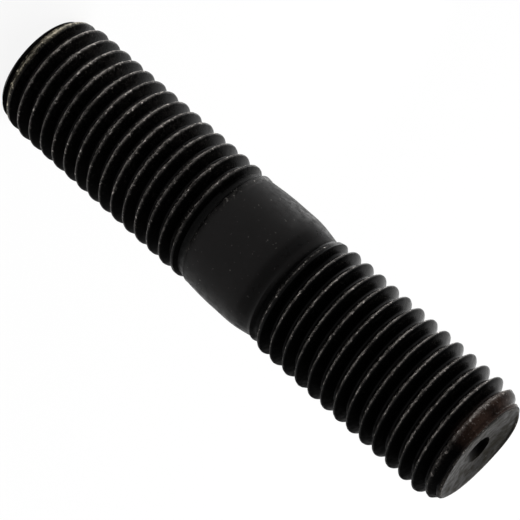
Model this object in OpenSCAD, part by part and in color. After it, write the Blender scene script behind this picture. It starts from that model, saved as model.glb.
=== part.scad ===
// Double-ended sprocket stud: one steel bar with a rolled fine thread on both ends
// and a plain crowned shank between them. It stands on its lower end at z = 0, its axis
// is Z, and the dished end with the centre mark is up. Both threads are right-handed.

/* [Thread] */
// Diameter over the thread crests
thread_d = 9.82; // [9:0.02:11]
// Rise of the thread in one turn
thread_pitch = 1.25; // [1.1:0.05:1.5]
// Depth of the thread from crest to root
thread_depth = 0.72; // [0.5:0.01:0.9]
// Width of the flat along the crest
crest_w = 0.17; // [0.1:0.01:0.3]
// Width of the flat along the root
root_w = 0.2; // [0.1:0.01:0.3]
// Flats around one turn of the thread
turn_sides = 32; // [24:2:36]
// Slope of both end chamfers from the axis, in degrees
chamfer_angle = 42; // [30:1:45]

/* [Lower end] */
// Length of the lower thread from its face to the shank, run-out included
lower_l = 20; // [14:0.1:24]
// How far the edge of the lower face lies inside the thread root
lower_face_inset = 0.02; // [0.02:0.01:0.4]
// Height of the chamfer at the lower face
lower_chamfer_h = 0.48; // [0.3:0.02:0.7]
// Distance from the lower face to the first crest of full diameter
lower_lead_l = 2.3; // [1:0.1:4]
// Length over which the groove fades out below the shank
lower_runout_l = 1.8; // [1:0.1:3]
// Height at which the first lower crest crosses the +X side
lower_crest_z = 0.08; // [0:0.01:1]

/* [Upper end] */
// Length of the upper thread from its face to the shank, run-out included
upper_l = 18.2; // [14:0.1:24]
// How far the edge of the upper face lies inside the thread root
upper_face_inset = 0.17; // [0.02:0.01:0.4]
// Height of the chamfer at the upper face
upper_chamfer_h = 0.6; // [0.3:0.02:0.7]
// Distance from the upper face to the first crest of full diameter
upper_lead_l = 1.9; // [1:0.1:4]
// Length over which the groove fades out above the shank
upper_runout_l = 1.6; // [1:0.1:3]
// Depth below the upper face at which the first upper crest crosses the +X side
upper_crest_z = 0.43; // [0:0.01:1]
// Width of the flat rim round the dished upper face
rim_w = 0.12; // [0.08:0.02:0.6]
// Depth of the dish at the edge of the centre mark
dish_h = 0.23; // [0.1:0.01:0.5]
// Diameter of the centre mark
mark_d = 2.2; // [1.2:0.1:3]
// Depth of the centre mark below the dish
mark_h = 0.9; // [0.3:0.05:1.5]
// Diameter at the floor of the centre mark
mark_floor_d = 0.6; // [0.2:0.1:1]

/* [Shank] */
// Diameter of the shank at its crown
shank_d = 9.76; // [8.6:0.02:11]
// Length of the cylindrical land along the crown
land_l = 1.6; // [0.8:0.1:8]
// Length over which the shank draws in towards the lower thread
lower_draw_l = 2.4; // [1:0.1:4]
// How far the shank draws in at the lower thread
lower_draw = 0.13; // [0.05:0.01:0.4]
// Length over which the shank draws in towards the upper thread
upper_draw_l = 2.2; // [1:0.1:4]
// How far the shank draws in at the upper thread
upper_draw = 0.3; // [0.05:0.01:0.4]

/* [Hidden] */
// Sides of the turned surfaces
$fn = 96;
// Straight steps in each curve of the shank
draw_steps = 6;
// Turns by which the helix rows start below a face, and end beyond the run-out
spare_turns = 2;
// Circles of corners kept for the two ends of a thread
end_rings = 2;
// Length by which each thread runs into the shank
seat_l = 0.3;
// Step from the end of a thread out to the shank
seat_step = 0.03;
// Height by which a cutter stands clear of the upper face
cut_clear = 1;

crest_r = thread_d / 2;
root_r = crest_r - thread_depth;
shank_r = shank_d / 2;
lower_neck_r = shank_r - lower_draw;
upper_neck_r = shank_r - upper_draw;
shank_top = lower_l + lower_draw_l + land_l + upper_draw_l;
stud_l = shank_top + upper_l;
upper_face_r = root_r - upper_face_inset;

// Corners of the thread profile in one pitch: place as a share of the pitch, and radius
profile = [
    [-crest_w / thread_pitch / 2, crest_r],
    [crest_w / thread_pitch / 2, crest_r],
    [0.5 - root_w / thread_pitch / 2, root_r],
    [0.5 + root_w / thread_pitch / 2, root_r],
];

// True where no two of a triangle's corners are the same
function is_open(t) = t[0] != t[1] && t[1] != t[2] && t[2] != t[0];

// One circle of a thread's corners
function ring(r, z) = [
    for (i = [0:turn_sides - 1])
        [r * cos(360 * i / turn_sides), r * sin(360 * i / turn_sides), z]
];

// Thread of one end, with its face at z = 0 and its run-out towards +Z. The rows of corners
// follow the helix, and each is held between the chamfered blank and the fading groove.
module threaded_end(length, face_inset, chamfer_h, lead_l, runout_l, crest_z, neck_r) {
    face_r = root_r - face_inset;
    end_z = length + seat_l;
    points_per_turn = len(profile);
    rows = points_per_turn * (ceil(end_z / thread_pitch) + 2 * spare_turns);
    blank = [
        [0, face_r],
        [chamfer_h, face_r + chamfer_h * tan(chamfer_angle)],
        [lead_l, crest_r],
        [length - runout_l, crest_r],
        [length, neck_r],
    ];
    groove = [
        [length - runout_l, root_r],
        [length, neck_r],
    ];

    function row_z(j, i) =
        let (turn = floor(j / points_per_turn) - spare_turns)
        crest_z + thread_pitch * (turn + profile[j % points_per_turn][0] + i / turn_sides);

    function row_r(j, z) =
        max(min(profile[j % points_per_turn][1], lookup(z, blank)), lookup(z, groove));

    // Number of a corner: a row that has run past an end shares that end's circle
    function corner(j, i) =
        i == turn_sides ? corner(j + points_per_turn, 0)
        : row_z(j, i) <= 0 ? i
        : row_z(j, i) >= end_z ? turn_sides + i
        : (j + end_rings) * turn_sides + i;

    points = [
        each ring(face_r, 0),
        each ring(neck_r, end_z),
        for (j = [0:rows - 1])
            for (i = [0:turn_sides - 1])
                let (
                    z = row_z(j, i),
                    r = row_r(j, z),
                    angle = 360 * i / turn_sides
                )
                [r * cos(angle), r * sin(angle), z],
    ];
    sides = [
        for (j = [0:rows - points_per_turn - 2])
            for (i = [0:turn_sides - 1])
                let (
                    a = corner(j, i),
                    b = corner(j, i + 1),
                    c = corner(j + 1, i + 1),
                    d = corner(j + 1, i)
                )
                for (t = [[a, d, c], [a, c, b]])
                    if (is_open(t)) t,
    ];
    lower_cap = [for (i = [0:turn_sides - 1]) i];
    upper_cap = [for (i = [turn_sides - 1:-1:0]) turn_sides + i];
    polyhedron(points, concat(sides, [lower_cap, upper_cap]));
}

// Plain shank: a short cylindrical land that draws in by a quarter ellipse at both ends
module shank() {
    land_z = lower_l + lower_draw_l;
    lower_curve = [
        for (k = [0:draw_steps])
            let (s = k / draw_steps)
            [
                lower_neck_r + seat_step + (lower_draw - seat_step) * sin(90 * s),
                lower_l + lower_draw_l * s
            ]
    ];
    upper_curve = [
        for (k = [0:draw_steps])
            let (s = k / draw_steps)
            [
                upper_neck_r + seat_step + (upper_draw - seat_step) * cos(90 * s),
                land_z + land_l + upper_draw_l * s
            ]
    ];
    rotate_extrude()
        polygon([[0, lower_l], each lower_curve, each upper_curve, [0, shank_top]]);
}

// Hollow of the upper face: a shallow dish and the centre mark in its middle
module dish() {
    rim_r = upper_face_r - rim_w;
    rotate_extrude()
        polygon([
            [0, -dish_h - mark_h],
            [mark_floor_d / 2, -dish_h - mark_h],
            [mark_d / 2, -dish_h],
            [rim_r, 0],
            [rim_r, cut_clear],
            [0, cut_clear],
        ]);
}

// The whole stud
module stud() {
    color("#1d1c1b")
    difference() {
        union() {
            threaded_end(
                lower_l, lower_face_inset, lower_chamfer_h, lower_lead_l, lower_runout_l,
                lower_crest_z, lower_neck_r
            );
            shank();
            translate([0, 0, stud_l])
                rotate([180, 0, 0])
                    threaded_end(
                        upper_l, upper_face_inset, upper_chamfer_h, upper_lead_l, upper_runout_l,
                        upper_crest_z, upper_neck_r
                    );
        }
        translate([0, 0, stud_l]) dish();
    }
}

stud();
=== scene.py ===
"""Sprocket stud in black oxide steel: a rolled fine thread on both ends of a plain crowned shank."""

import math

import bmesh
import bpy
import numpy as np
from bpy.props import FloatProperty, FloatVectorProperty, IntProperty, PointerProperty
from mathutils import Matrix, Vector, noise


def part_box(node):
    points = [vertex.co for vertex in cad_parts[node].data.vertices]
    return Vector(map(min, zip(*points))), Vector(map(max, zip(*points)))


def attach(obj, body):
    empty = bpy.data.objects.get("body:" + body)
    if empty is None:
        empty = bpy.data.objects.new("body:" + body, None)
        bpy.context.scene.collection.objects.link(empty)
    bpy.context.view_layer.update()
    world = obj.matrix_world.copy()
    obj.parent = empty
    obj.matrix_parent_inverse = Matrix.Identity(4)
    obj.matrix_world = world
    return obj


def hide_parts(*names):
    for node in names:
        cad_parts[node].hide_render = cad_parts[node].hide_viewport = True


bl_info = {
    "name": "Sprocket Stud",
    "version": (1, 0, 0),
    "blender": (4, 5, 0),
    "location": "3D View > Sidebar > Stud",
    "description": "Builds a black steel stud with a rolled thread on both ends",
    "category": "Object",
}

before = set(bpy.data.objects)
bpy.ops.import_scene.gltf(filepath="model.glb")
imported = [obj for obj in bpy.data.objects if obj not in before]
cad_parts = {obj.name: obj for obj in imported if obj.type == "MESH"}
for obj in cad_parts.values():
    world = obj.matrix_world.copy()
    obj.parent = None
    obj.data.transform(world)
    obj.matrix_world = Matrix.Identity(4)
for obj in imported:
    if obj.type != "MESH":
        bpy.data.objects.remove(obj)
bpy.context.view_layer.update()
NODE = "stud"
BODY = "root"
NODE_LOW, NODE_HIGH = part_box(NODE)
MM = 0.001

# Rolled thread: lean of its flanks, and half the arc of its rounded crests and roots
FLANK_ANGLE = math.radians(30)
ARC_ANGLE = math.radians(60)

# Edges that turn by more than this stay sharp to the eye
SHARP_ANGLE = math.radians(32)

# A corner is rounded over this share of the groove's depth, and at least over the least round
CORNER_SHARE = 0.25
LEAST_ROUND = 0.001 * MM

# Mesh steps in half a crest, half a root, a broken edge and the dish, and turns rolled past each end
CREST_STEPS = 3
ROOT_STEPS = 2
EDGE_STEPS = 4
DISH_STEPS = 8
SPARE_TURNS = 2
MERGE_DISTANCE = 0.001 * MM
CUT_TOLERANCE = 0.00001 * MM

# Uneven rim of the upper face: angle and spread in degrees of each burr or dip, and its share of the
# largest burr. The last two rings of the broken edge and the first of the dish follow it in these shares.
RIM_BURRS = ((132, 36, 1.0), (-40, 32, 0.8), (-118, 28, -0.6))
BURR_SHARES = (0.6, 1.0, 0.1)

# Cosines of the angle from the rubbed or the stained side, between which an effect grows to full. That
# side is the lit one: more rub and the stain there are partly painted light, and less rub on the far side
# is painted shade.
LIT_RUBBED_SPREAD = (0.75, 0.97)
SHADED_FAR_SPREAD = (0.3, -0.2)
STAIN_AND_LIGHT_SPREAD = (0.6, 0.92)

# Vertex attributes that the finish reads: rubbed edges, partly a painted highlight below each crest and
# more on the lit side, thick oxide of the threads with painted shade in the centre mark, brown stain that
# is partly painted light on its lit side, straw tint of the tempered end, paler end faces with the painted
# lit side of the centre mark, and roughness against that of the shank. The notes of a face are their values
# on both end faces.
RUB_AND_HIGHLIGHT = "rub_and_highlight"
DEEP_OXIDE_AND_SHADE = "threaded"
STAIN_AND_LIGHT = "stained"
TEMPERED = "tempered"
FACE_AND_LIT_MARK = "face_and_lit_mark"
DULLING = "dulling"
FACE_NOTES = {RUB_AND_HIGHLIGHT: 0, DEEP_OXIDE_AND_SHADE: 0, STAIN_AND_LIGHT: 0, TEMPERED: 0, FACE_AND_LIT_MARK: 1, DULLING: 1}

# Camera: width of the sensor in its own millimetres, and the nearest thing that it sees
SENSOR_WIDTH = 36
NEAR_CLIP = 10 * MM


def hex_to_linear(code):
    """Linear RGB of an sRGB hex colour."""
    parts = [int(code[i:i + 2], 16) / 255 for i in (1, 3, 5)]
    return tuple(c / 12.92 if c <= 0.04045 else ((c + 0.055) / 1.055) ** 2.4 for c in parts)


def length_prop(name, description, millimetres):
    """A length whose default is given in millimetres."""
    return FloatProperty(
        name=name, description=description, default=millimetres * MM, unit="LENGTH", precision=6
    )


def lengths_prop(name, description, millimetres):
    """Several lengths, such as a place or a stretch, whose defaults are given in millimetres."""
    return FloatVectorProperty(
        name=name, description=description, default=[length * MM for length in millimetres],
        size=len(millimetres), unit="LENGTH", precision=6
    )


def angle_prop(name, description, degrees):
    """An angle whose default is given in degrees."""
    return FloatProperty(name=name, description=description, default=math.radians(degrees), subtype="ANGLE")


def share_prop(name, description, share):
    """An amount between 0 and 1."""
    return FloatProperty(name=name, description=description, default=share, min=0, max=1)


def shares_prop(name, description, shares):
    """Two amounts between 0 and 1, for the two places that the description names."""
    return FloatVectorProperty(name=name, description=description, default=shares, size=2, min=0, max=1)


def colour_prop(name, description, code):
    """A colour whose default is given as an sRGB hex code."""
    return FloatVectorProperty(
        name=name, description=description, default=hex_to_linear(code), subtype="COLOR",
        size=3, min=0, max=1
    )


def power_prop(name, description, watts):
    """The power of a lamp."""
    return FloatProperty(name=name, description=description, default=watts, unit="POWER")


class StudSizes(bpy.types.PropertyGroup):
    """Sizes of the stud, from its lower face at z = 0 upwards."""

    length: length_prop("Length", "Overall length", (NODE_HIGH[2] - NODE_LOW[2]) / MM)
    crest_radius: length_prop(
        "Crest radius", "Radius over the thread crests", (NODE_HIGH[0] - NODE_LOW[0]) / 2 / MM
    )
    pitch: length_prop("Pitch", "Rise of the thread in one turn", 1.25)
    crest_round: length_prop("Crest round", "Radius of the rounded thread crest", 0.19)
    root_round: length_prop("Root round", "Radius of the rounded thread root", 0.16)
    corner_round: length_prop("Corner round", "Width over which a cut crest rounds into its flanks", 0.06)
    lower_crest: length_prop("Lower crest", "Height at which a lower crest crosses the +X side", 0.08)
    crest_shift: length_prop("Crest shift", "How far the upper thread lies ahead of the lower one", 0.065)
    lower_face_radius: length_prop("Lower face", "Radius of the lower end face", 4.17)
    lower_chamfer: length_prop("Lower chamfer", "Height of the chamfer at the lower face", 0.48)
    lower_chamfer_radius: length_prop("Lower chamfer radius", "Radius where the lower chamfer ends", 4.62)
    lower_lead: length_prop("Lower lead", "Height of the first full crest above the lower face", 2.3)
    lower_thread: length_prop(
        "Lower thread", "Height of the shank's lower end above the lower face", 20.0
    )
    lower_runout: length_prop("Lower run-out", "Length over which the lower groove fades out", 2.3)
    upper_face_radius: length_prop("Upper face", "Radius of the upper end face", 3.97)
    upper_chamfer: length_prop("Upper chamfer", "Height of the chamfer at the upper face", 0.6)
    upper_chamfer_radius: length_prop("Upper chamfer radius", "Radius where the upper chamfer ends", 4.56)
    upper_lead: length_prop("Upper lead", "Distance of the first full crest from the upper face", 1.9)
    upper_thread: length_prop("Upper thread", "Distance of the shank's upper end from the top", 18.2)
    upper_runout: length_prop("Upper run-out", "Length over which the upper groove fades out", 1.85)
    shank_radius: length_prop("Shank radius", "Radius of the shank at its crown", 4.88)
    lower_draw: length_prop("Lower draw", "How far the shank draws in at the lower thread", 0.13)
    lower_draw_length: length_prop("Lower draw length", "Length over which it draws in there", 2.4)
    upper_draw: length_prop("Upper draw", "How far the shank draws in at the upper thread", 0.3)
    upper_draw_length: length_prop("Upper draw length", "Length over which it draws in there", 2.2)
    edge_round: length_prop("Edge round", "Size of the broken edge round both end faces", 0.08)
    face_drop: length_prop("Face drop", "How far the upper face lies below the overall length", 0.05)
    burr: length_prop("Burr", "Height of the largest burr on the rim of the upper face", 0.14)
    rim: length_prop("Rim", "Width of the rim round the dished upper face", 0.15)
    dish_depth: length_prop("Dish depth", "Depth of the dish at the edge of the centre mark", 0.24)
    mark_offset: length_prop("Mark offset", "How far off the axis the centre mark lies, along X", -0.1)
    mark_width: length_prop("Mark width", "Half the width of the oval centre mark, along X", 1.16)
    mark_length: length_prop("Mark length", "Half the length of the oval centre mark, along Y", 1.5)
    mark_depth: length_prop("Mark depth", "Depth of the centre mark below the dish", 0.9)
    mark_floor_radius: length_prop("Mark floor", "Radius at the floor of the centre mark", 0.3)
    pit_offset: length_prop("Pit offset", "How far off the axis the mark's deep part lies, along X", -0.3)
    pit_width: length_prop("Pit width", "Half the width of the mark's deep part, along X", 0.86)
    pit_length: length_prop("Pit length", "Half the length of the mark's deep part, along Y", 1.41)
    pit_drop: length_prop("Pit drop", "Depth at which the mark's deep part begins", 0.34)
    nick: length_prop("Nick", "Depth of the deepest nicks along the crests", 0.03)
    nick_length: length_prop("Nick length", "Usual length of a nick", 0.5)
    nick_reach: length_prop("Nick reach", "How far from a crest its nicks reach", 0.38)
    columns: IntProperty(name="Columns", description="Steps of the thread in one turn", default=144, min=24)


class StudWear(bpy.types.PropertyGroup):
    """Where the finish is rubbed, stained and dulled, and how much of it, from 0 to 1. More rub and the
    stain on the lit side are partly painted light, less rub on the far side is painted shade, and the
    centre mark has a painted shaded and lit side.
    """

    # The rubbed side is the lit side: its extra rub is partly wear and partly painted light
    lit_rub_side: angle_prop("Rubbed side", "Direction from the axis of the side that is rubbed most", -142)
    # The rubbed line below each crest is partly bare steel and partly a painted highlight of the crest's
    # underside
    lower_drop: length_prop("Lower drop", "How far below each crest the lower thread is rubbed", 0.25)
    lower_width: length_prop("Lower width", "Half the width of the lower thread's rubbed line", 0.185)
    upper_drop: length_prop("Upper drop", "How far below each crest the upper thread is rubbed", 0.195)
    upper_width: length_prop("Upper width", "Half the width of the upper thread's rubbed line", 0.088)
    cut_drop: share_prop("Cut drop", "How much lower a cut crest is rubbed, against its cut", 0.25)
    lower_cut_width: share_prop("Lower cut width", "How much wider a cut lower crest is rubbed", 0.1)
    upper_cut_width: share_prop("Upper cut width", "How much wider a cut upper crest is rubbed", 0.3)
    full_cut: length_prop("Full cut", "Depth of cut from which an upper crest counts as a cut one", 0.3)
    groove_start: length_prop("Groove start", "Depth of groove from which a crest is rubbed at all", 0.15)
    groove_depth: lengths_prop("Groove depth", "Depths between which the rub grows to full", (0.25, 0.65))
    lower_least: shares_prop(
        "Lower least", "Rub outside the rubbed side: along the thread, and at its end", (0.2, 0.33)
    )
    lower_least_stretch: lengths_prop(
        "Lower least stretch", "Heights between which it changes", (5.5, 1.5)
    )
    lower_most: shares_prop(
        "Lower most", "Rub on the rubbed side: along the thread, and at its end", (0.48, 0.88)
    )
    lower_most_stretch: lengths_prop("Lower most stretch", "Heights between which it changes", (10, 4))
    lower_kept: shares_prop(
        "Lower kept", "Share of the rub along the thread, and beside the shank", (1, 0.38)
    )
    lower_kept_stretch: lengths_prop("Lower kept stretch", "Heights between which it changes", (11, 18.3))
    upper_least: shares_prop(
        "Upper least", "Rub outside the rubbed side: full crests, and cut ones", (0.165, 0.065)
    )
    upper_most: shares_prop(
        "Upper most", "Rub on the rubbed side: full crests, and cut ones", (0.31, 0.43)
    )
    # Painted shade: the far side, away from the light, gets less rub
    far_shade_loss: shares_prop(
        "Far loss", "Rub that the far side lacks: beside the shank, and at the end", (0.28, 0.68)
    )
    far_shade_loss_stretch: lengths_prop("Far loss stretch", "Heights between which it changes", (28, 38))
    shoulder: shares_prop(
        "Shoulder", "Rub of the lower shoulder: outside the rubbed side, and on it", (0.006, 0.016)
    )
    shoulder_drop: length_prop("Shoulder drop", "How far below the shank the shoulder is rubbed", 0.3)
    shoulder_width: length_prop("Shoulder width", "Half the width of its rubbed line", 0.2)
    rim_rub: share_prop("Rim rub", "Rub of the broken edge round the upper face", 0.04)
    # The brown stain lies on the lit side only, so it is partly painted light
    lit_stain_side: angle_prop("Stained side", "Direction from the axis of the side that is stained", -130)
    full_stain: length_prop("Full stain", "Depth of cut from which the upper end is fully stained", 0.25)
    full_temper: length_prop("Full temper", "Depth of cut from which the lower end is fully tinted", 0.2)
    lower_smooth: share_prop(
        "Lower smoothness", "How much smoother than the shank the lower thread is", 0.35
    )
    lower_handled: share_prop("Lower handling", "How much handling dulls its far side again", 0.35)
    upper_smooth: share_prop(
        "Upper smoothness", "How much smoother than the shank the upper thread is", 0.4
    )
    upper_handled: share_prop("Upper handling", "How much handling dulls its far side again", 0.7)
    lower_fade: length_prop("Lower fade", "Length over which the thick oxide ends below the shank", 0.4)
    upper_fade: lengths_prop(
        "Upper fade", "Distances above the shank where it begins and is full", (0.1, 0.5)
    )
    taper_oxide: share_prop("Taper oxide", "How much thick oxide the shank's upper taper has", 0.45)
    taper_fade: lengths_prop(
        "Taper fade", "Distances above the land where it begins and is full", (0.9, 1.4)
    )
    neck_loss: share_prop("Neck loss", "Share of it that the neck below the upper thread lacks", 0.6)
    neck_fade: lengths_prop(
        "Neck fade", "Distances below the thread where this begins and is full", (0.3, 0.05)
    )
    # Painted shade and light in the centre mark: dark on its shaded side, pale on its lit side
    mark_pale: share_prop("Mark pale", "How pale the centre mark's lit side is, against the face", 0.25)
    mark_shade_to_light: lengths_prop("Mark sides", "Places along X where the mark is dark and pale", (-0.5, 0.7))


class StudFinish(bpy.types.PropertyGroup):
    """Colours, gloss and grain of the black oxide finish."""

    oxide: colour_prop("Oxide", "Colour of the black oxide on the shank", "#252424")
    # Also paints the shade on the shaded side of the centre mark
    oxide_deep_and_shade: colour_prop("Deep oxide", "Colour of the thick oxide in the threads", "#030303")
    # Lies only on the lit side, so it is partly painted light
    oxide_brown: colour_prop(
        "Brown oxide", "Colour of the thin, brownish oxide on the upper end", "#41322b"
    )
    # Also paints the crests' highlight and the extra light on the lit side
    bare_steel: colour_prop("Bare steel", "Colour of the steel where an edge is rubbed", "#e1d9d2")
    straw_steel: colour_prop(
        "Straw steel", "Colour of the rubbed steel at the tempered lower end", "#e2d8bf"
    )
    # Also tints the painted lit side of the centre mark
    sheared: colour_prop("Sheared face", "Colour of the paler oxide on the end faces", "#1e1b13")
    gloss: share_prop("Gloss", "Reflection level of the oiled oxide", 0.043)
    steel_shine: share_prop("Steel shine", "How metallic a fully rubbed spot is", 0.3)
    patch_size: length_prop("Patch size", "Usual size of the patches in the oxide's tone", 1.6)
    clump_size: length_prop("Clump size", "Usual size of a clump of scuffs", 0.5)
    glint_size: length_prop("Glint size", "Usual distance between single glints of steel", 0.24)
    grit_size: length_prop(
        "Grit size", "Size of the grit as it is drawn, coarser than the real one", 0.14
    )


class StageSettings(bpy.types.PropertyGroup):
    """Camera, floor, backdrop and lights."""

    camera_distance: length_prop("Camera distance", "Distance of the camera from its aim", 173.75)
    camera_elevation: angle_prop("Camera elevation", "Angle at which the camera looks down", 19.05)
    camera_roll: angle_prop("Camera roll", "Turn of the camera, which lays the stud slantwise", 131.58)
    aim_height: length_prop("Aim height", "Height at which the camera aims", 22.98)
    aim_offset: length_prop("Aim offset", "Place across the view at which the camera aims", 0.07)
    lens: FloatProperty(
        name="Lens", description="Focal length in millimetres", default=167.2, subtype="DISTANCE_CAMERA"
    )
    floor_colour: colour_prop("Floor", "Colour of the pale floor", "#f6f6f6")
    floor_glow: share_prop("Floor glow", "Share of the floor that shows as plain white", 0.9)
    floor_reach: length_prop("Floor reach", "Distance from the stud to each side of the floor", 3000)
    floor_gap: length_prop("Floor gap", "How far the floor lies below the stud", 0.01)
    room_dim: share_prop("Dim room", "Brightness of the room, where the backdrop is 1", 0.12)
    backdrop_side: FloatVectorProperty(
        name="Backdrop side", description="Direction from the stud to the middle of the white backdrop",
        default=(-0.45, 0.82, -0.36), subtype="XYZ", size=3
    )
    backdrop_edge: shares_prop(
        "Backdrop edge", "Cosines from that direction where the white begins and is full", (0.54, 0.72)
    )
    panel_power: power_prop("Panel", "Power of the left light panel", 0.009)
    panel_place: lengths_prop("Panel place", "Place of the left light panel", (-47, 17, 7.5))
    panel_size: lengths_prop("Panel size", "Length and width of the left light panel", (80, 14))
    fill_power: power_prop("Fill", "Power of the soft light overhead", 9.0)
    fill_place: lengths_prop("Fill place", "Place of the soft light overhead", (0, 500, 650))
    fill_size: lengths_prop("Fill size", "Length and width of the soft light overhead", (800, 800))


def blend(start, end, share):
    """Goes from start to end as a share goes from 0 to 1."""
    return start + (end - start) * share


def smooth_step(low, high, value):
    """Rises smoothly from 0 at low to 1 at high."""
    t = np.clip((value - low) / (high - low), 0, 1)
    return t * t * (3 - 2 * t)


def soft_min(a, b, width):
    """The lesser of two values, with the corner between them rounded over a width."""
    t = np.clip(0.5 + 0.5 * (b - a) / width, 0, 1)
    return blend(b, a, t) - width * t * (1 - t)


def soft_max(a, b, width):
    """The greater of two values, with the corner between them rounded over a width."""
    return -soft_min(-a, -b, width)


class StudForm:
    """The stud at any height z and share of a turn from the +X side: its radius, its wear and its ends."""

    def __init__(self, size, wear):
        self.size = size
        self.wear = wear
        self.crest_half = size.crest_round * math.sin(ARC_ANGLE)
        self.root_half = size.root_round * math.sin(ARC_ANGLE)
        self.crest_drop = size.crest_round * (1 - math.cos(ARC_ANGLE))
        flank = size.pitch / 2 - self.crest_half - self.root_half
        root_rise = size.root_round * (1 - math.cos(ARC_ANGLE))
        self.depth = self.crest_drop + flank / math.tan(FLANK_ANGLE) + root_rise
        self.shank_top = size.length - size.upper_thread
        self.land_top = self.shank_top - size.upper_draw_length
        self.upper_face = size.length - size.face_drop
        lower_neck = size.shank_radius - size.lower_draw
        upper_neck = size.shank_radius - size.upper_draw
        root = size.crest_radius - self.depth
        clear = size.crest_radius + size.corner_round
        self.blank_line = [
            (0, size.lower_face_radius),
            (size.lower_chamfer, size.lower_chamfer_radius),
            (size.lower_lead, clear),
            (size.lower_thread - size.lower_runout, clear),
            (size.lower_thread, lower_neck),
            (self.shank_top, upper_neck),
            (self.shank_top + size.upper_runout, clear),
            (self.upper_face - size.upper_lead, clear),
            (self.upper_face - size.upper_chamfer, size.upper_chamfer_radius),
            (self.upper_face, size.upper_face_radius),
        ]
        self.groove_line = [
            (size.lower_thread - size.lower_runout, root),
            (size.lower_thread, lower_neck),
            (self.shank_top, upper_neck),
            (self.shank_top + size.upper_runout, root),
        ]

    def blank(self, z):
        """Radius of the turned blank, before the groove; it stands clear of the full crests."""
        return np.interp(z, *zip(*self.blank_line))

    def groove_floor(self, z):
        """Least radius that the groove reaches, which rises to the shank where the thread runs out."""
        return np.interp(z, *zip(*self.groove_line))

    def shank(self, z):
        """Radius of the crowned shank, which draws in by a quarter ellipse at both ends."""
        size = self.size
        low = np.clip((z - size.lower_thread) / size.lower_draw_length, 0, 1)
        high = np.clip((z - self.land_top) / size.upper_draw_length, 0, 1)
        lower_drawn = size.lower_draw * (1 - np.sin(math.pi / 2 * low))
        upper_drawn = size.upper_draw * (1 - np.cos(math.pi / 2 * high))
        return size.shank_radius - lower_drawn - upper_drawn

    def shift(self, z):
        """How far the thread at a height lies ahead of the lower thread."""
        return self.size.crest_shift * smooth_step(self.size.lower_thread, self.shank_top, z)

    def across(self, z, turn):
        """Distance along the axis from the nearest crest."""
        size = self.size
        phase = (z - self.shift(z) - size.lower_crest) / size.pitch - turn
        return (phase - np.round(phase)) * size.pitch

    def thread(self, across):
        """Radius of the endless thread at a distance from its crest: a rounded 60-degree V."""
        size = self.size
        away = np.abs(across)
        from_root = size.pitch / 2 - away
        crest = size.crest_round - np.sqrt(np.maximum(size.crest_round ** 2 - away ** 2, 0))
        flank = self.crest_drop + (away - self.crest_half) / math.tan(FLANK_ANGLE)
        root = self.depth - size.root_round + np.sqrt(np.maximum(size.root_round ** 2 - from_root ** 2, 0))
        drop = np.where(away < self.crest_half, crest, np.where(from_root < self.root_half, root, flank))
        return size.crest_radius - drop

    def radius(self, z, turn):
        """Radius of the finished stud."""
        size = self.size
        blank = self.blank(z)
        floor = self.groove_floor(z)
        corner = np.clip((blank - floor) * CORNER_SHARE, LEAST_ROUND, size.corner_round)
        threaded = soft_max(soft_min(self.thread(self.across(z, turn)), blank, corner), floor, corner)
        on_shank = (z > size.lower_thread) & (z < self.shank_top)
        return np.where(on_shank, self.shank(z), threaded)

    def nicks(self, places, z, turn):
        """Depth of the small dents along the crests at each place."""
        size = self.size
        dents = np.array([max(noise.noise(Vector(place) / size.nick_length), 0) for place in places])
        near_crest = np.exp(-(self.across(z, turn) / size.nick_reach) ** 2)
        return size.nick * near_crest * self.in_thread(z) * dents

    def turned_down(self, z):
        """How far the blank is turned down below the crests at the two ends."""
        size = self.size
        near_end = (z < size.lower_lead) | (z > self.upper_face - size.upper_lead)
        return np.where(near_end, np.maximum(size.crest_radius - self.blank(z), 0), 0)

    def lit_rubbed_side(self, turn):
        """1 on the lit side of the stud, which is rubbed most and where the extra rub is partly painted
        light, and 0 round the rest.
        """
        return smooth_step(*LIT_RUBBED_SPREAD, np.cos(math.tau * turn - self.wear.lit_rub_side))

    def shaded_far_side(self, turn):
        """1 on the shaded half that faces away from the lit rubbed side, and 0 round the rest."""
        return smooth_step(*SHADED_FAR_SPREAD, np.cos(math.tau * turn - self.wear.lit_rub_side))

    def lower_rub(self, z, turn):
        """Rub of the lower thread: most on the lit side, partly as painted light, and at the lower end, and
        least beside the shank.
        """
        wear = self.wear
        least = blend(*wear.lower_least, smooth_step(*wear.lower_least_stretch, z))
        most = blend(*wear.lower_most, smooth_step(*wear.lower_most_stretch, z))
        kept = blend(*wear.lower_kept, smooth_step(*wear.lower_kept_stretch, z))
        return kept * blend(least, most, self.lit_rubbed_side(turn))

    def upper_rub(self, z, turn):
        """Rub of the upper thread: most on the lit side and least on the shaded far side, partly painted
        light and shade.
        """
        wear = self.wear
        cut = np.clip(self.turned_down(z) / wear.full_cut, 0, 1)
        shade_loss = self.shaded_far_side(turn) * blend(*wear.far_shade_loss, smooth_step(*wear.far_shade_loss_stretch, z))
        least = blend(*wear.upper_least, cut) * (1 - shade_loss)
        most = blend(*wear.upper_most, cut)
        return blend(least, most, self.lit_rubbed_side(turn))

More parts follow.
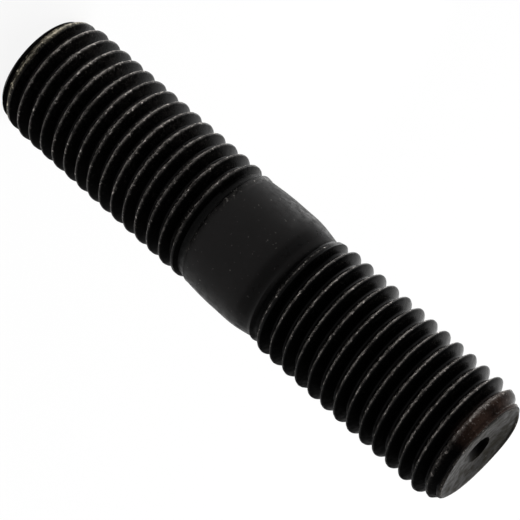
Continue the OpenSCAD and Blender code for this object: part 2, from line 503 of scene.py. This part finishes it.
    def rub_and_highlight(self, z, turn):
        """How much the steel is rubbed, from 0 to 1: below each crest, and on the shoulder. The line below
        each crest is partly a painted highlight, and its change round the stud is painted light and shade.
        """
        wear = self.wear
        cut = self.turned_down(z)
        upper = z > self.land_top
        rub = np.where(upper, self.upper_rub(z, turn), self.lower_rub(z, turn))
        middle = np.where(upper, wear.upper_drop, wear.lower_drop) + wear.cut_drop * cut
        upper_width = wear.upper_width + wear.upper_cut_width * cut
        lower_width = wear.lower_width + wear.lower_cut_width * cut
        line = np.exp(-((self.across(z, turn) + middle) / np.where(upper, upper_width, lower_width)) ** 2)
        depth = self.blank(z) - self.groove_floor(z)
        groove = smooth_step(*wear.groove_depth, depth + cut) * smooth_step(0, wear.groove_start, depth)
        from_shoulder = z - self.size.lower_thread + wear.shoulder_drop
        shoulder = np.exp(-(from_shoulder / wear.shoulder_width) ** 2)
        return rub * groove * line + blend(*wear.shoulder, self.lit_rubbed_side(turn)) * shoulder

    def in_thread(self, z):
        """Thick oxide, from 0 to 1: 1 along both threads, 0 on the shank, and some on its taper."""
        wear = self.wear
        below = smooth_step(0, wear.lower_fade, self.size.lower_thread - z)
        above = smooth_step(*wear.upper_fade, z - self.shank_top)
        taper = wear.taper_oxide * smooth_step(*wear.taper_fade, z - self.land_top)
        neck = wear.neck_loss * smooth_step(*wear.neck_fade, self.shank_top - z)
        return np.maximum(np.maximum(below, above), taper * (1 - neck))

    def stained(self, z, turn):
        """How brown the oxide is, from 0 to 1: on the chamfered upper end, only on the lit side, so the
        brown is partly painted light.
        """
        side = smooth_step(*STAIN_AND_LIGHT_SPREAD, np.cos(math.tau * turn - self.wear.lit_stain_side))
        return np.clip(self.turned_down(z) / self.wear.full_stain, 0, 1) * side * (z > self.land_top)

    def tempered(self, z):
        """How yellow the rubbed steel is, from 0 to 1: only on the first crests of the lower end."""
        return np.clip(self.turned_down(z) / self.wear.full_temper, 0, 1) * (z < self.land_top)

    def dulling(self, z, turn):
        """Roughness against that of the shank: rolling smooths a thread, handling dulls it."""
        wear = self.wear
        far = self.shaded_far_side(turn)
        upper_smooth = wear.upper_smooth - wear.upper_handled * far
        lower_smooth = wear.lower_smooth - wear.lower_handled * far
        return 1 - self.in_thread(z) * np.where(z > self.land_top, upper_smooth, lower_smooth)

    def row_heights(self):
        """Heights of the mesh rows: the same places in each turn, close together on the arcs."""
        size = self.size
        crest_rows = range(-CREST_STEPS, CREST_STEPS + 1)
        root_rows = range(-ROOT_STEPS, ROOT_STEPS + 1)
        crest = [size.crest_round * math.sin(ARC_ANGLE * k / CREST_STEPS) for k in crest_rows]
        root = [size.pitch / 2 + size.root_round * math.sin(ARC_ANGLE * k / ROOT_STEPS) for k in root_rows]
        flank = (crest[-1] + root[0]) / 2
        turn_rows = crest + [flank] + root + [size.pitch - flank]
        turns = range(-SPARE_TURNS, math.ceil(size.length / size.pitch) + SPARE_TURNS)
        return [size.lower_crest + k * size.pitch + row for k in turns for row in turn_rows]

    def broken_edge(self, face_radius, face_height, outward):
        """Rings of the rounded edge of an end face; outward is 1 at the upper face and -1 at the lower."""
        edge = self.size.edge_round
        start = face_height - outward * edge
        width = float(self.blank(start)) - face_radius
        rings = []
        for k in range(1, EDGE_STEPS + 1):
            angle = math.pi / 2 * k / EDGE_STEPS
            radius = face_radius + width * math.cos(angle)
            rings.append((radius, radius, start + outward * edge * math.sin(angle), 0))
        return rings

    def dish(self):
        """Rings of the dished upper face, from its round rim to the oval edge of the centre mark."""
        size = self.size
        rim_radius = size.upper_face_radius - size.rim
        rings = []
        for k in range(DISH_STEPS + 1):
            share = k / DISH_STEPS
            rings.append((
                blend(rim_radius, size.mark_width, share),
                blend(rim_radius, size.mark_length, share),
                self.upper_face - size.dish_depth * float(smooth_step(0, 1, share)),
                size.mark_offset * share,
            ))
        return rings

    def centre_mark(self):
        """Rings of the centre mark below the dish: the edge of its deep part, and its floor."""
        size = self.size
        top = self.upper_face - size.dish_depth
        floor_radius = size.mark_floor_radius
        return [
            (size.pit_width, size.pit_length, top - size.pit_drop, size.pit_offset),
            (floor_radius, floor_radius, top - size.mark_depth, size.pit_offset),
        ]

    def rim_height(self, angle):
        """How far the uneven rim of the upper face stands above it."""
        height = 0.0
        for centre, spread, share in RIM_BURRS:
            away = math.remainder(angle - math.radians(centre), math.tau)
            height += share * math.exp(-(away / math.radians(spread)) ** 2)
        return self.size.burr * height


def link_object(name, bm):
    """Turns a bmesh into a smooth-shaded object at the origin."""
    for face in bm.faces:
        face.smooth = True
    mesh = bpy.data.meshes.new(name)
    bm.to_mesh(mesh)
    bm.free()
    obj = bpy.data.objects.new(name, mesh)
    bpy.context.scene.collection.objects.link(obj)
    return obj


def cut_end(bm, height, outward):
    """Cuts the bar off square at a height and returns the edges of the cut."""
    geom = bm.verts[:] + bm.edges[:] + bm.faces[:]
    cut = bmesh.ops.bisect_plane(
        bm, geom=geom, dist=CUT_TOLERANCE, clear_outer=True,
        plane_co=(0, 0, height), plane_no=(0, 0, outward)
    )
    return [e for e in cut["geom_cut"] if isinstance(e, bmesh.types.BMEdge)]


def turn_end(bm, edges, rings):
    """Closes a cut end by drawing its edge in through rings of (half X, half Y, height, offset along X)."""
    layers = bm.verts.layers.float
    ring_verts = []
    for half_x, half_y, height, offset in rings:
        made = bmesh.ops.extrude_edge_only(bm, edges=edges)["geom"]
        verts = [v for v in made if isinstance(v, bmesh.types.BMVert)]
        fresh = set(verts)
        edges = [e for e in made if isinstance(e, bmesh.types.BMEdge) and fresh.issuperset(e.verts)]
        for v in verts:
            out = Vector((v.co.x - offset, v.co.y, 0)).normalized()
            v.co = (out.x * half_x + offset, out.y * half_y, height)
            for name, value in FACE_NOTES.items():
                v[layers[name]] = value
        ring_verts.append(verts)
    bmesh.ops.edgeloop_fill(bm, edges=edges)
    return ring_verts


def add_node(tree, kind, settings=None, inputs=None, output=0):
    """Adds a shader node, sets its settings, sets or links its inputs, and returns one of its outputs."""
    node = tree.nodes.new(kind)
    for key, value in (settings or {}).items():
        setattr(node, key, value)
    for key, value in (inputs or {}).items():
        if isinstance(value, bpy.types.NodeSocket):
            tree.links.new(value, node.inputs[key])
        else:
            node.inputs[key].default_value = value
    return node.outputs[output] if node.outputs else None


def new_material(name):
    """An empty node material and its tree."""
    material = bpy.data.materials.new(name)
    material.use_nodes = True
    material.node_tree.nodes.clear()
    return material, material.node_tree


def black_oxide_steel(finish):
    """Finish of the stud: steel that was blackened hot and oiled, and then handled."""
    # To the eye it is a satin near-black, deepest in the threads, with fine broken lines of bare steel
    # along the crests that also paint their highlight, brighter on the lit side, a brown stain beside the
    # upper face that is partly painted light, slightly paler end faces, and a centre mark with painted
    # shade on one side.
    material, tree = new_material("black_oxide_steel")
    place = add_node(tree, "ShaderNodeTexCoord", output="Object")
    wear, threaded, stained, tempered, face_and_lit_mark, dulling = (
        add_node(tree, "ShaderNodeAttribute", {"attribute_name": name}, output="Fac")
        for name in (RUB_AND_HIGHLIGHT, DEEP_OXIDE_AND_SHADE, STAIN_AND_LIGHT, TEMPERED, FACE_AND_LIT_MARK, DULLING)
    )

    # Tone of the oxide, clumps of scuffs, grit of the steel and single glints. Real grit is a few
    # hundredths of a millimetre, too fine to show, so it is drawn several times as coarse.
    patches, clumps, grit, glints = (
        add_node(tree, "ShaderNodeTexNoise", inputs={"Vector": place, "Scale": 1 / size, "Detail": detail})
        for size, detail in (
            (finish.patch_size, 4),
            (finish.clump_size, 4),
            (finish.grit_size, 3),
            (finish.glint_size, 1),
        )
    )

    # Levels: each reads a pattern from one value to another, and gives a strength from one to another
    level = {
        name: add_node(
            tree, "ShaderNodeMapRange",
            inputs={"Value": pattern, "From Min": low, "From Max": high, "To Min": least, "To Max": most}
        )
        for name, pattern, low, high, least, most in (
            ("scuff grit", grit, 0.32, 0.68, 0.22, 1.78),
            ("scuff clumps", clumps, 0.38, 0.62, 0.4, 1.6),
            ("scuff glints", glints, 0.62, 0.7, 1.25, 11.0),
            ("shank dots", glints, 0.715, 0.8, 0.0, 0.08),
            ("stain dots", glints, 0.64, 0.74, 0.0, 0.1),
            ("stain tone", patches, 0.3, 0.55, 0.3, 1.0),
            ("stain grit", grit, 0.35, 0.65, 0.75, 1.25),
            ("face tone", clumps, 0.35, 0.65, 0.1, 1.0),
            ("roughness", clumps, 0.35, 0.65, 0.3, 0.5),
        )
    }
    times = {"operation": "MULTIPLY"}
    times_plus = {"operation": "MULTIPLY_ADD"}
    mix_colours = {"data_type": "RGBA"}

    # Rubbed steel along the crests, which also paints their highlight and more light on the lit side, and a
    # few dots of it on the shank and in the stain
    scuffs = add_node(tree, "ShaderNodeMath", times, {0: level["scuff grit"], 1: level["scuff clumps"]})
    scuffs = add_node(tree, "ShaderNodeMath", times, {0: scuffs, 1: level["scuff glints"]})
    dots = add_node(tree, "ShaderNodeMix", inputs={"Factor": threaded, 2: level["shank dots"], 3: 0.0})
    rubbed = add_node(tree, "ShaderNodeMath", times_plus, {0: wear, 1: scuffs, 2: dots})
    rubbed = add_node(tree, "ShaderNodeMath", times_plus, {0: stained, 1: level["stain dots"], 2: rubbed})
    metallic = add_node(tree, "ShaderNodeMath", times, {0: rubbed, 1: finish.steel_shine})
    steel = add_node(
        tree, "ShaderNodeMix", mix_colours,
        {"Factor": tempered, 6: (*finish.bare_steel, 1), 7: (*finish.straw_steel, 1)}, output=2
    )

    # Brown stain on the lit side of the chamfer, partly painted light, and the paler sheared faces
    stain = add_node(tree, "ShaderNodeMath", times, {0: level["stain tone"], 1: level["stain grit"]})
    stain = add_node(tree, "ShaderNodeMath", times, {0: stained, 1: stain})
    sheared = add_node(tree, "ShaderNodeMath", times, {0: face_and_lit_mark, 1: level["face tone"]})

    # Each layer lies over the ones before it; the deep oxide also paints the shade on one side of the
    # centre mark
    colour = (*finish.oxide, 1)
    for share, shade in (
        (threaded, (*finish.oxide_deep_and_shade, 1)),
        (stain, (*finish.oxide_brown, 1)),
        (sheared, (*finish.sheared, 1)),
        (rubbed, steel),
    ):
        colours = {"Factor": share, 6: colour, 7: shade}
        colour = add_node(tree, "ShaderNodeMix", mix_colours, colours, output=2)
    roughness = add_node(tree, "ShaderNodeMath", times, {0: level["roughness"], 1: dulling})
    relief = {"Strength": 0.3, "Distance": 0.02 * MM, "Height": grit}
    grain = add_node(tree, "ShaderNodeBump", inputs=relief)
    shader = add_node(
        tree, "ShaderNodeBsdfPrincipled",
        inputs={
            "Base Color": colour, "Metallic": metallic, "Roughness": roughness,
            "Specular IOR Level": finish.gloss, "Normal": grain,
        }
    )
    add_node(tree, "ShaderNodeOutputMaterial", inputs={"Surface": shader})
    return material


def seamless_paper(colour, glow_share):
    """Material of the floor: matt white paper."""
    # To the eye it is plain white, and just dark enough to keep the soft shadow
    material, tree = new_material("seamless_paper")
    camera, glossy, transmission = (
        add_node(tree, "ShaderNodeLightPath", output=ray)
        for ray in ("Is Camera Ray", "Is Glossy Ray", "Is Transmission Ray")
    )
    seen = add_node(tree, "ShaderNodeMath", {"operation": "MAXIMUM"}, {0: camera, 1: glossy})
    seen = add_node(tree, "ShaderNodeMath", {"operation": "MAXIMUM"}, {0: seen, 1: transmission})
    share = add_node(tree, "ShaderNodeMath", {"operation": "MULTIPLY"}, {0: seen, 1: glow_share})
    matt = add_node(tree, "ShaderNodeBsdfDiffuse", inputs={"Color": (*colour, 1)})
    glow = add_node(tree, "ShaderNodeEmission", inputs={"Color": (1, 1, 1, 1), "Strength": 1.0})
    mixed = add_node(tree, "ShaderNodeMixShader", inputs={0: share, 1: matt, 2: glow})
    add_node(tree, "ShaderNodeOutputMaterial", inputs={"Surface": mixed})
    return material


class STUD_OT_build(bpy.types.Operator):
    """Build the threaded stud and its finish"""

    bl_idname = "stud.build"
    bl_label = "Build Stud"

    def execute(self, context):
        scene = context.scene
        form = StudForm(scene.stud_sizes, scene.stud_wear)
        bm = self.roll_thread(form)
        self.close_lower_end(bm, form)
        self.close_upper_end(bm, form)
        bmesh.ops.recalc_face_normals(bm, faces=bm.faces[:])
        stud = link_object("sprocket_stud", bm)
        stud.data.set_sharp_from_angle(angle=SHARP_ANGLE)
        stud.data.materials.append(black_oxide_steel(scene.stud_finish))
        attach(stud, BODY)
        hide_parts(NODE)
        return {"FINISHED"}

    def roll_thread(self, form):
        """Rolls a grid once round the axis, rising by one pitch, so that its rows follow the thread."""
        size = form.size
        heights = form.row_heights()
        last_row = len(heights) - 1
        bm = bmesh.new()
        # The grid is one unit wide and long: a turn across it, and all the rows along it
        bmesh.ops.create_grid(bm, x_segments=size.columns, y_segments=last_row, size=0.5)
        turn, along, _ = np.array([v.co for v in bm.verts]).T + 0.5
        z = np.interp(along * last_row, range(len(heights)), heights) + size.pitch * turn
        z = z + form.shift(z)
        angle = math.tau * turn
        radius = form.radius(z, turn)
        places = np.stack([radius * np.cos(angle), radius * np.sin(angle), z], axis=1)
        dented = 1 - form.nicks(places, z, turn) / radius
        for v, (x, y, height), share in zip(bm.verts, places, dented):
            v.co = (x * share, y * share, height)
        notes = {
            RUB_AND_HIGHLIGHT: form.rub_and_highlight(z, turn),
            DEEP_OXIDE_AND_SHADE: form.in_thread(z),
            STAIN_AND_LIGHT: form.stained(z, turn),
            TEMPERED: form.tempered(z),
            FACE_AND_LIT_MARK: np.zeros_like(z),
            DULLING: form.dulling(z, turn),
        }
        for name, values in notes.items():
            layer = bm.verts.layers.float.new(name)
            for v, value in zip(bm.verts, values):
                v[layer] = value
        bmesh.ops.remove_doubles(bm, verts=bm.verts[:], dist=MERGE_DISTANCE)
        return bm

    def close_lower_end(self, bm, form):
        """Cuts the lower end square, breaks its edge and closes it flat, with one ring inside the face."""
        size = form.size
        inner_radius = size.mark_width
        rings = form.broken_edge(size.lower_face_radius, 0, -1)
        rings.append((inner_radius, inner_radius, 0, 0))
        turn_end(bm, cut_end(bm, size.edge_round, -1), rings)

    def close_upper_end(self, bm, form):
        """Cuts the upper end square, breaks its edge and closes it by the dish and the centre mark."""
        size = form.size
        wear = form.wear
        edge = form.broken_edge(size.upper_face_radius, form.upper_face, 1)
        cut = cut_end(bm, form.upper_face - size.edge_round, 1)
        rings = turn_end(bm, cut, edge + form.dish() + form.centre_mark())
        layers = bm.verts.layers.float
        for ring in rings[1:EDGE_STEPS]:
            for v in ring:
                v[layers[RUB_AND_HIGHLIGHT]] = wear.rim_rub
        for ring, share in zip(rings[EDGE_STEPS - 2:], BURR_SHARES):
            for v in ring:
                v.co.z += share * form.rim_height(math.atan2(v.co.y, v.co.x))
        # Painted shade and light in the centre mark: its shaded side is as dark as the threads, its lit
        # side paler
        for ring in rings[-2:]:
            for v in ring:
                pale = float(smooth_step(*wear.mark_shade_to_light, v.co.x))
                v[layers[FACE_AND_LIT_MARK]] = wear.mark_pale * pale
                v[layers[DEEP_OXIDE_AND_SHADE]] = 1 - pale


class STUD_OT_stage(bpy.types.Operator):
    """Set up the pale floor, the soft lights and the camera"""

    bl_idname = "stud.stage"
    bl_label = "Set Up Stage"

    def execute(self, context):
        settings = context.scene.stud_stage
        self.make_floor(settings)
        self.make_world(context, settings)
        self.make_lights(context, settings)
        self.make_camera(context, settings)
        context.scene.view_settings.view_transform = "Standard"
        return {"FINISHED"}

    def make_floor(self, settings):
        """A wide floor of paper just below the stud."""
        bm = bmesh.new()
        bmesh.ops.create_grid(bm, x_segments=1, y_segments=1, size=settings.floor_reach)
        bmesh.ops.translate(bm, verts=bm.verts[:], vec=(0, 0, NODE_LOW[2] - settings.floor_gap))
        floor = link_object("floor", bm)
        floor.data.materials.append(seamless_paper(settings.floor_colour, settings.floor_glow))

    def make_world(self, context, settings):
        """A white backdrop behind the stud and a dim room behind the camera."""
        world = bpy.data.worlds.new("white_room")
        world.use_nodes = True
        tree = world.node_tree
        tree.nodes.clear()
        direction = add_node(tree, "ShaderNodeTexCoord", output="Generated")
        towards_backdrop = add_node(
            tree, "ShaderNodeVectorMath", {"operation": "DOT_PRODUCT"},
            {0: direction, 1: settings.backdrop_side}, output="Value"
        )
        edge_start, edge_full = settings.backdrop_edge
        strength = add_node(
            tree, "ShaderNodeMapRange", {"interpolation_type": "SMOOTHSTEP"},
            {
                "Value": towards_backdrop, "From Min": edge_start, "From Max": edge_full,
                "To Min": settings.room_dim, "To Max": 1.0,
            }
        )
        sky = add_node(tree, "ShaderNodeBackground", inputs={"Color": (1, 1, 1, 1), "Strength": strength})
        add_node(tree, "ShaderNodeOutputWorld", inputs={"Surface": sky})
        context.scene.world = world

    def make_lights(self, context, settings):
        """A low panel at the left for the crests, and a large soft light overhead that isn't mirrored."""
        panel = Vector(settings.panel_place)
        level_aim = Vector((0, 0, panel.z))
        self.add_lamp(context, "left_panel", panel, level_aim, settings.panel_size, settings.panel_power)
        overhead = Vector(settings.fill_place)
        aim = Vector((0, 0, settings.aim_height))
        fill = self.add_lamp(
            context, "overhead_fill", overhead, aim, settings.fill_size, settings.fill_power
        )
        fill.visible_glossy = False

    def add_lamp(self, context, name, place, aim, size, power):
        """A rectangular soft light that faces a point."""
        lamp = bpy.data.lights.new(name, "AREA")
        lamp.shape = "RECTANGLE"
        lamp.size, lamp.size_y = size
        lamp.energy = power
        light = bpy.data.objects.new(name, lamp)
        turn = (place - aim).to_track_quat("Z", "Y").to_matrix().to_4x4()
        light.matrix_world = Matrix.Translation(place) @ turn
        context.scene.collection.objects.link(light)
        return light

    def make_camera(self, context, settings):
        """A long lens that looks slightly down, rolled so that the stud lies slantwise in the picture."""
        data = bpy.data.cameras.new("camera")
        data.sensor_width = SENSOR_WIDTH
        data.lens = settings.lens
        data.clip_start = NEAR_CLIP
        camera = bpy.data.objects.new("camera", data)
        aim = Matrix.Translation((settings.aim_offset, 0, settings.aim_height))
        lift = Matrix.Rotation(math.pi / 2 - settings.camera_elevation, 4, "X")
        back = Matrix.Translation((0, 0, settings.camera_distance))
        roll = Matrix.Rotation(settings.camera_roll, 4, "Z")
        camera.matrix_world = aim @ lift @ back @ roll
        context.scene.collection.objects.link(camera)
        context.scene.camera = camera


class STUD_PT_panel(bpy.types.Panel):
    """Sidebar panel with the stud's sizes, wear, finish and stage"""

    bl_label = "Sprocket Stud"
    bl_idname = "STUD_PT_panel"
    bl_space_type = "VIEW_3D"
    bl_region_type = "UI"
    bl_category = "Stud"

    def draw(self, context):
        scene = context.scene
        for group in (scene.stud_sizes, scene.stud_wear, scene.stud_finish, scene.stud_stage):
            box = self.layout.box()
            for key in group.__annotations__:
                box.prop(group, key)
        self.layout.operator(STUD_OT_build.bl_idname)
        self.layout.operator(STUD_OT_stage.bl_idname)


CLASSES = (StudSizes, StudWear, StudFinish, StageSettings, STUD_OT_build, STUD_OT_stage, STUD_PT_panel)


def register():
    for cls in CLASSES:
        bpy.utils.register_class(cls)
    bpy.types.Scene.stud_sizes = PointerProperty(type=StudSizes)
    bpy.types.Scene.stud_wear = PointerProperty(type=StudWear)
    bpy.types.Scene.stud_finish = PointerProperty(type=StudFinish)
    bpy.types.Scene.stud_stage = PointerProperty(type=StageSettings)


def unregister():
    del bpy.types.Scene.stud_stage
    del bpy.types.Scene.stud_finish
    del bpy.types.Scene.stud_wear
    del bpy.types.Scene.stud_sizes
    for cls in reversed(CLASSES):
        bpy.utils.unregister_class(cls)


def main():
    register()
    bpy.ops.stud.stage()
    bpy.ops.stud.build()


if __name__ == "__main__":
    main()
